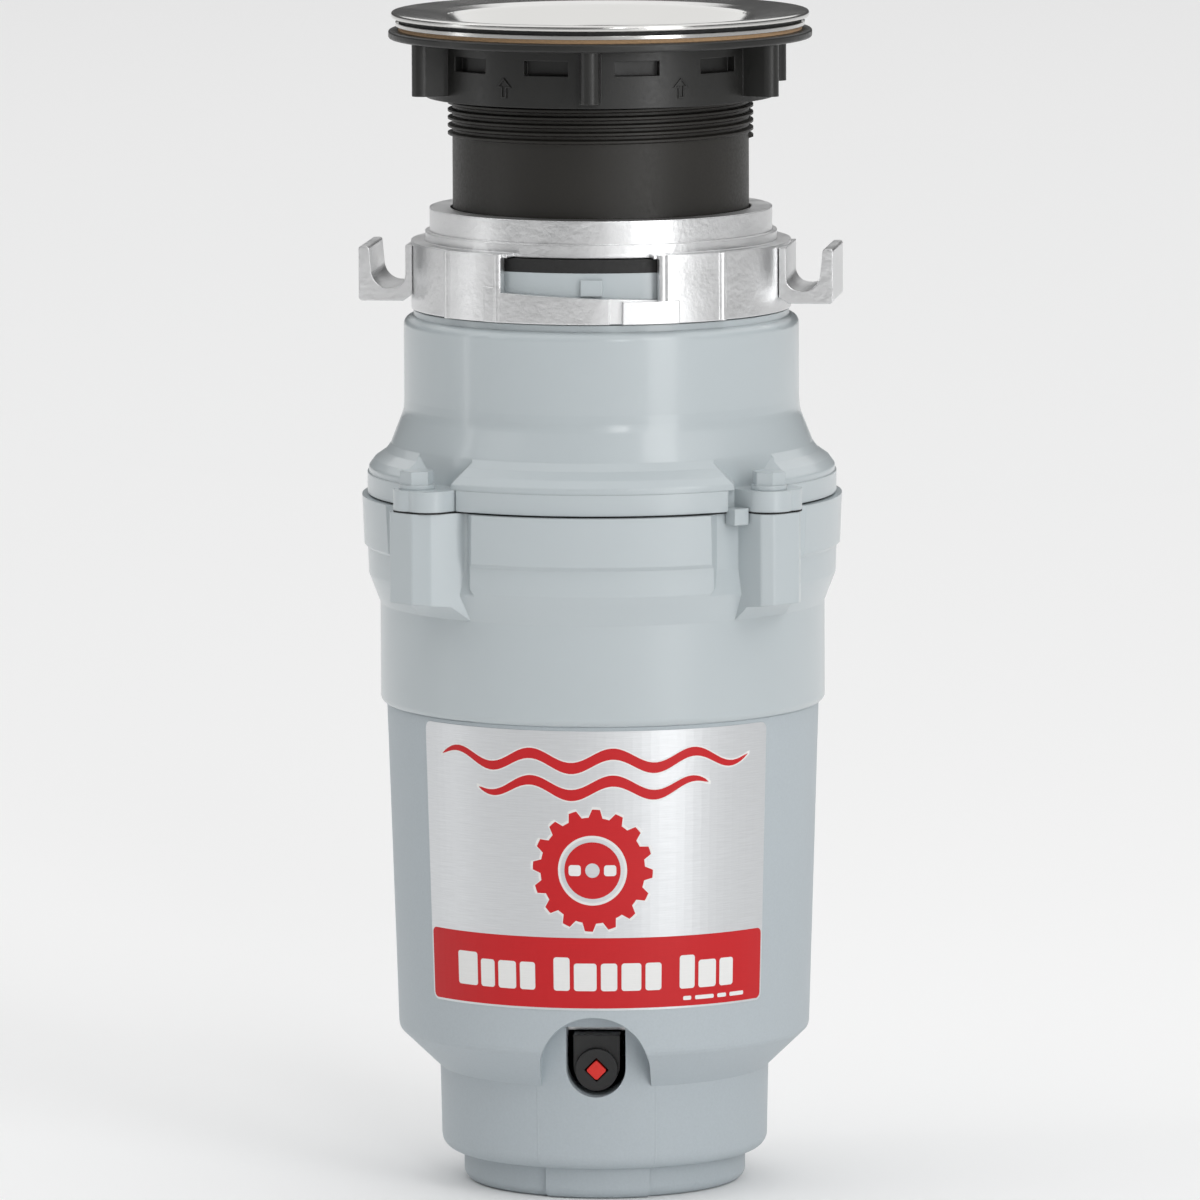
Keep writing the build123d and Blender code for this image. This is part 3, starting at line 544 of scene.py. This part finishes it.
def arrowSheet(angle):  # an outlined arrow that points up, sunk a little into the skirt
    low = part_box("mounting_nut")[0].z + arrow["low"]
    high = low + arrow["height"]
    neck = low + arrow["neckShare"] * arrow["height"]
    stem, head = arrow["halfStem"], arrow["halfHead"]
    sheet = flatFace([(-stem, low), (stem, low), (stem, neck), (head, neck), (0, high), (-head, neck),
                      (-stem, neck)])
    line = bmesh.ops.inset_region(sheet, faces=sheet.faces[:], thickness=arrow["line"], use_boundary=True,
                                  use_even_offset=True)
    middle = [face for face in sheet.faces if face not in line["faces"]]
    bmesh.ops.delete(sheet, geom=middle, context="FACES")
    thicken(sheet, arrow["thickness"] + arrow["sunk"])
    turn = Matrix.Rotation(angle, 4, "Z")
    for vert in sheet.verts:
        reach = arrow["skirtRadius"] - arrow["sunk"] + vert.co.y
        around = vert.co.x / arrow["skirtRadius"]
        vert.co = turn @ Vector((reach * math.sin(around), -reach * math.cos(around), vert.co.z))
    return sheet


def makeArrows():
    step = 360 / arrow["count"]
    angles = [math.radians(arrow["firstAngle"] + number * step) for number in range(arrow["count"])]
    whole = joinSheets([arrowSheet(angle) for angle in angles])
    finishPiece("nutArrows", whole, "nut", finishes["black_nylon"])


makeArrows()
print("nut arrows made")


# floor, light and camera

floorPlan = {"half": 30, "color": (0.92, 0.92, 0.92, 1), "roughness": 0.8}


def makeFloor():
    sheet = bmesh.new()
    bmesh.ops.create_grid(sheet, x_segments=1, y_segments=1, size=floorPlan["half"])
    mesh = bpy.data.meshes.new("studioFloor")
    sheet.to_mesh(mesh)
    sheet.free()
    floor = bpy.data.objects.new("studioFloor", mesh)
    bpy.context.scene.collection.objects.link(floor)
    material = bpy.data.materials.new("paleFloor")
    material.use_nodes = True
    setInputs(material.node_tree.nodes["Principled BSDF"],
              {"Base Color": floorPlan["color"], "Roughness": floorPlan["roughness"]})
    mesh.materials.append(material)


makeFloor()

objectMiddle = (0, 0, 0.17)
softboxes = {
    "ceiling": {"at": (0.0, 2.5, 3.5), "aim": (0.0, 2.5, 0.0), "size": (12.0, 12.0), "power": 470},
    "keyRight": {"at": (1.15, -1.45, 0.75), "aim": objectMiddle, "size": (0.6, 1.7), "power": 12},
    "frontRight": {"at": (0.62, -2.6, 1.05), "aim": objectMiddle, "size": (0.45, 1.0), "power": 9},
    "edgeLeft": {"at": (-1.35, -0.2, 0.6), "aim": objectMiddle, "size": (0.12, 1.7), "power": 1.6},
}
ambient = 0.1


def makeLights():
    for name, plan in softboxes.items():
        light = bpy.data.lights.new(name, "AREA")
        light.shape = "RECTANGLE"
        light.size, light.size_y = plan["size"]
        light.energy = plan["power"]
        holder = bpy.data.objects.new(name, light)
        holder.location = plan["at"]
        look = Vector(plan["aim"]) - Vector(plan["at"])
        holder.rotation_euler = look.to_track_quat("-Z", "Y").to_euler()
        bpy.context.scene.collection.objects.link(holder)
    world = bpy.data.worlds.new("studio")
    world.use_nodes = True
    setInputs(world.node_tree.nodes["Background"], {"Color": (1, 1, 1, 1), "Strength": ambient})
    bpy.context.scene.world = world
    bpy.context.scene.view_settings.view_transform = "Standard"


makeLights()

shot = {"azimuth": 3.0, "distance": 3.4, "height": 0.575, "aim": (-0.0007, 0.0, 0.16036), "lens": 370.8,
        "sensor": 36.0, "farClip": 100, "lean": math.radians(-0.24)}


def makeCamera():
    camera = bpy.data.cameras.new("shot")
    camera.lens = shot["lens"]
    camera.sensor_width = shot["sensor"]
    camera.clip_end = shot["farClip"]
    holder = bpy.data.objects.new("shot", camera)
    turn = math.radians(shot["azimuth"])
    level = math.sqrt(shot["distance"] ** 2 - (shot["height"] - shot["aim"][2]) ** 2)
    holder.location = (level * math.sin(turn), -level * math.cos(turn), shot["height"])
    look = Vector(shot["aim"]) - holder.location
    turned = look.to_track_quat("-Z", "Y") @ Quaternion((0, 0, 1), shot["lean"])
    holder.rotation_euler = turned.to_euler()
    bpy.context.scene.collection.objects.link(holder)
    bpy.context.scene.camera = holder


makeCamera()
print("stage set")
